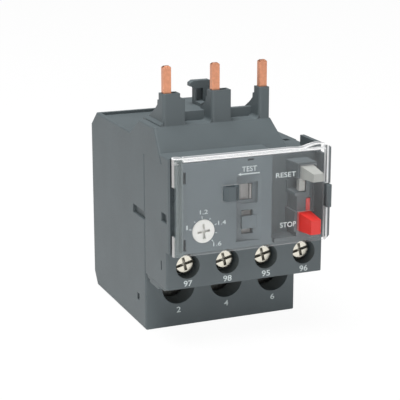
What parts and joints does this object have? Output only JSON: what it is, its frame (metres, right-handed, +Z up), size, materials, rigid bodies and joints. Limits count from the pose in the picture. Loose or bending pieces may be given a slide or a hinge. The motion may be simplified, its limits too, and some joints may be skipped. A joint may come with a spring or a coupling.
{
  "type": "thermal overload relay",
  "caption": "Plug-in thermal overload relay with line prongs, screw terminals, a setting dial, reset and stop buttons and a hinged clear cover.",
  "frame": {"origin": "middle of the bottom face of the bounding box", "axes": "+Z up along the line prongs, -Y out of the front that carries the dial and buttons, +X to the right seen from the front"},
  "size_m": [0.045, 0.07, 0.0733],
  "materials": {
    "housing_grey": "fine moulded matt, mid grey",
    "panel_grey": "moulded matt, lighter blue-grey",
    "clear_plastic": "transparent, polished",
    "dial_white": "smooth, near-white",
    "reset_grey": "smooth, light grey",
    "stop_red": "smooth, red",
    "natural_plastic": "natural nylon for inner pieces",
    "copper": "bare copper, drawn",
    "brass": "bare brass, stamped",
    "screw_steel": "bright plated steel",
    "spring_steel": "bare spring wire and stampings",
    "bimetal": "rolled strip",
    "heater_wire": "oxidised resistance wire",
    "sleeve_fibre": "woven glass sleeve",
    "silver_contact": "springy strip with silver tips"
  },
  "bodies": {
    "base": {"main_housing": "housing_grey", "back_plate": "housing_grey", "control_housing": "housing_grey", "face_plate": "panel_grey", "mechanism_frame": "natural_plastic", "lever_pin": "spring_steel", "aux_clamps": "screw_steel", "reset_spring": "spring_steel", "stop_spring": "spring_steel", "line_pin_1": "copper", "load_terminal_1": "brass", "power_clamp_1": "screw_steel", "line_pin_2": "copper", "load_terminal_2": "brass", "power_clamp_2": "screw_steel", "line_pin_3": "copper", "load_terminal_3": "brass", "power_clamp_3": "screw_steel", "aux_terminal_97": "brass", "aux_terminal_98": "brass", "aux_terminal_95": "brass", "aux_terminal_96": "brass"},
    "cover": {"clear_cover": "clear_plastic"},
    "dial": {"dial_knob": "dial_white", "adjusting_cam": "dial_white"},
    "adjuster": {"adjusting_slide": "natural_plastic"},
    "test": {"test_slider": "natural_plastic"},
    "reset": {"reset_button": "reset_grey"},
    "stop": {"stop_button": "stop_red"},
    "slide": {"slide_bar": "natural_plastic"},
    "differential": {"differential_bar": "natural_plastic"},
    "lever": {"trip_lever": "natural_plastic"},
    "rod": {"push_rod": "natural_plastic", "compensation_strip": "bimetal"},
    "rocker_body": {"rocker": "natural_plastic"},
    "carrier": {"contact_carrier": "natural_plastic", "nc_bridge": "silver_contact", "no_bridge": "silver_contact", "trip_flag": "natural_plastic"},
    "heater_1": {"bimetal_strip_1": "bimetal", "heater_sleeve_1": "sleeve_fibre", "heater_winding_1": "heater_wire"},
    "heater_2": {"bimetal_strip_2": "bimetal", "heater_sleeve_2": "sleeve_fibre", "heater_winding_2": "heater_wire"},
    "heater_3": {"bimetal_strip_3": "bimetal", "heater_sleeve_3": "sleeve_fibre", "heater_winding_3": "heater_wire"},
    "power_screw_1_body": {"power_screw_1": "screw_steel"},
    "power_screw_2_body": {"power_screw_2": "screw_steel"},
    "power_screw_3_body": {"power_screw_3": "screw_steel"},
    "aux_screw_97_body": {"aux_screw_97": "screw_steel"},
    "aux_screw_98_body": {"aux_screw_98": "screw_steel"},
    "aux_screw_95_body": {"aux_screw_95": "screw_steel"},
    "aux_screw_96_body": {"aux_screw_96": "screw_steel"}
  },
  "joints": [
    {"name": "cover_swing", "type": "hinge", "parent": "base", "child": "cover", "pos_m": [-0.02065, -0.0282, 0.0389], "axis": [0, 0, -1], "range_deg": [0, 115]},
    {"name": "dial_turn", "type": "hinge", "parent": "base", "child": "dial", "pos_m": [-0.01315, -0.027, 0.03195], "axis": [0, -1, 0], "range_deg": [-135, 75]},
    {"name": "adjuster_lift", "type": "slide", "parent": "base", "child": "adjuster", "axis": [0, 0, 1], "range_m": [-0.00094, 0.00052]},
    {"name": "test_push", "type": "slide", "parent": "base", "child": "test", "axis": [-1, 0, 0], "range_m": [0, 0.002], "stiffness_N_per_m": 100, "springref_m": -0.002},
    {"name": "reset_push", "type": "slide", "parent": "base", "child": "reset", "axis": [0, 1, 0], "range_m": [0, 0.003], "stiffness_N_per_m": 200, "springref_m": -0.003, "deforming": ["reset_spring"]},
    {"name": "stop_push", "type": "slide", "parent": "base", "child": "stop", "axis": [0, 1, 0], "range_m": [0, 0.003], "stiffness_N_per_m": 200, "springref_m": -0.003, "deforming": ["stop_spring"]},
    {"name": "trip_travel", "type": "slide", "parent": "base", "child": "slide", "axis": [1, 0, 0], "range_m": [0, 0.002], "stiffness_N_per_m": 100, "springref_m": -0.001},
    {"name": "differential_travel", "type": "slide", "parent": "base", "child": "differential", "axis": [1, 0, 0], "range_m": [0, 0.002]},
    {"name": "bimetal_1_bend", "type": "hinge", "parent": "base", "child": "heater_1", "pos_m": [-0.01285, 0.008, 0.017], "axis": [0, 1, 0], "range_deg": [0, 4.1]},
    {"name": "bimetal_2_bend", "type": "hinge", "parent": "base", "child": "heater_2", "pos_m": [0.0014, 0.008, 0.017], "axis": [0, 1, 0], "range_deg": [0, 4.1]},
    {"name": "bimetal_3_bend", "type": "hinge", "parent": "base", "child": "heater_3", "pos_m": [0.01565, 0.008, 0.017], "axis": [0, 1, 0], "range_deg": [0, 4.1]},
    {"name": "lever_swing", "type": "hinge", "parent": "base", "child": "lever", "pos_m": [0.0176, -0.0115, 0.0397], "axis": [0, 0, -1], "range_deg": [0, 8.6]},
    {"name": "rod_push", "type": "slide", "parent": "base", "child": "rod", "axis": [-1, 0, 0], "range_m": [0, 0.00125]},
    {"name": "rocker_tilt", "type": "hinge", "parent": "base", "child": "rocker_body", "pos_m": [0, -0.01995, 0.0352], "axis": [0, -1, 0], "range_deg": [0, 14.5]},
    {"name": "carrier_lift", "type": "slide", "parent": "base", "child": "carrier", "axis": [0, 0, 1], "range_m": [0, 0.00155]},
    {"name": "power_screw_1_turn", "type": "hinge", "parent": "base", "child": "power_screw_1_body", "pos_m": [-0.01285, 0, 0.0111], "axis": [0, -1, 0], "continuous": true},
    {"name": "power_screw_2_turn", "type": "hinge", "parent": "base", "child": "power_screw_2_body", "pos_m": [0.0014, 0, 0.0111], "axis": [0, -1, 0], "continuous": true},
    {"name": "power_screw_3_turn", "type": "hinge", "parent": "base", "child": "power_screw_3_body", "pos_m": [0.01565, 0, 0.0111], "axis": [0, -1, 0], "continuous": true},
    {"name": "aux_screw_97_turn", "type": "hinge", "parent": "base", "child": "aux_screw_97_body", "pos_m": [-0.01655, -0.02, 0.0222], "axis": [0, -1, 0], "continuous": true},
    {"name": "aux_screw_98_turn", "type": "hinge", "parent": "base", "child": "aux_screw_98_body", "pos_m": [-0.00535, -0.02, 0.0222], "axis": [0, -1, 0], "continuous": true},
    {"name": "aux_screw_95_turn", "type": "hinge", "parent": "base", "child": "aux_screw_95_body", "pos_m": [0.00585, -0.02, 0.0222], "axis": [0, -1, 0], "continuous": true},
    {"name": "aux_screw_96_turn", "type": "hinge", "parent": "base", "child": "aux_screw_96_body", "pos_m": [0.01705, -0.02, 0.0222], "axis": [0, -1, 0], "continuous": true}
  ],
  "couplings": [
    {"joint": "dial_turn", "follows": "adjuster_lift", "rad_per_m": 2500},
    {"joint": "differential_travel", "follows": "trip_travel", "ratio": 1},
    {"joint": "bimetal_1_bend", "follows": "trip_travel", "rad_per_m": 34.843},
    {"joint": "bimetal_2_bend", "follows": "trip_travel", "rad_per_m": 34.843},
    {"joint": "bimetal_3_bend", "follows": "trip_travel", "rad_per_m": 34.843},
    {"joint": "lever_swing", "follows": "trip_travel", "rad_per_m": 73.529},
    {"joint": "rod_push", "follows": "trip_travel", "ratio": 0.61397},
    {"joint": "rocker_tilt", "follows": "trip_travel", "rad_per_m": 125},
    {"joint": "carrier_lift", "follows": "trip_travel", "ratio": 0.75}
  ]
}
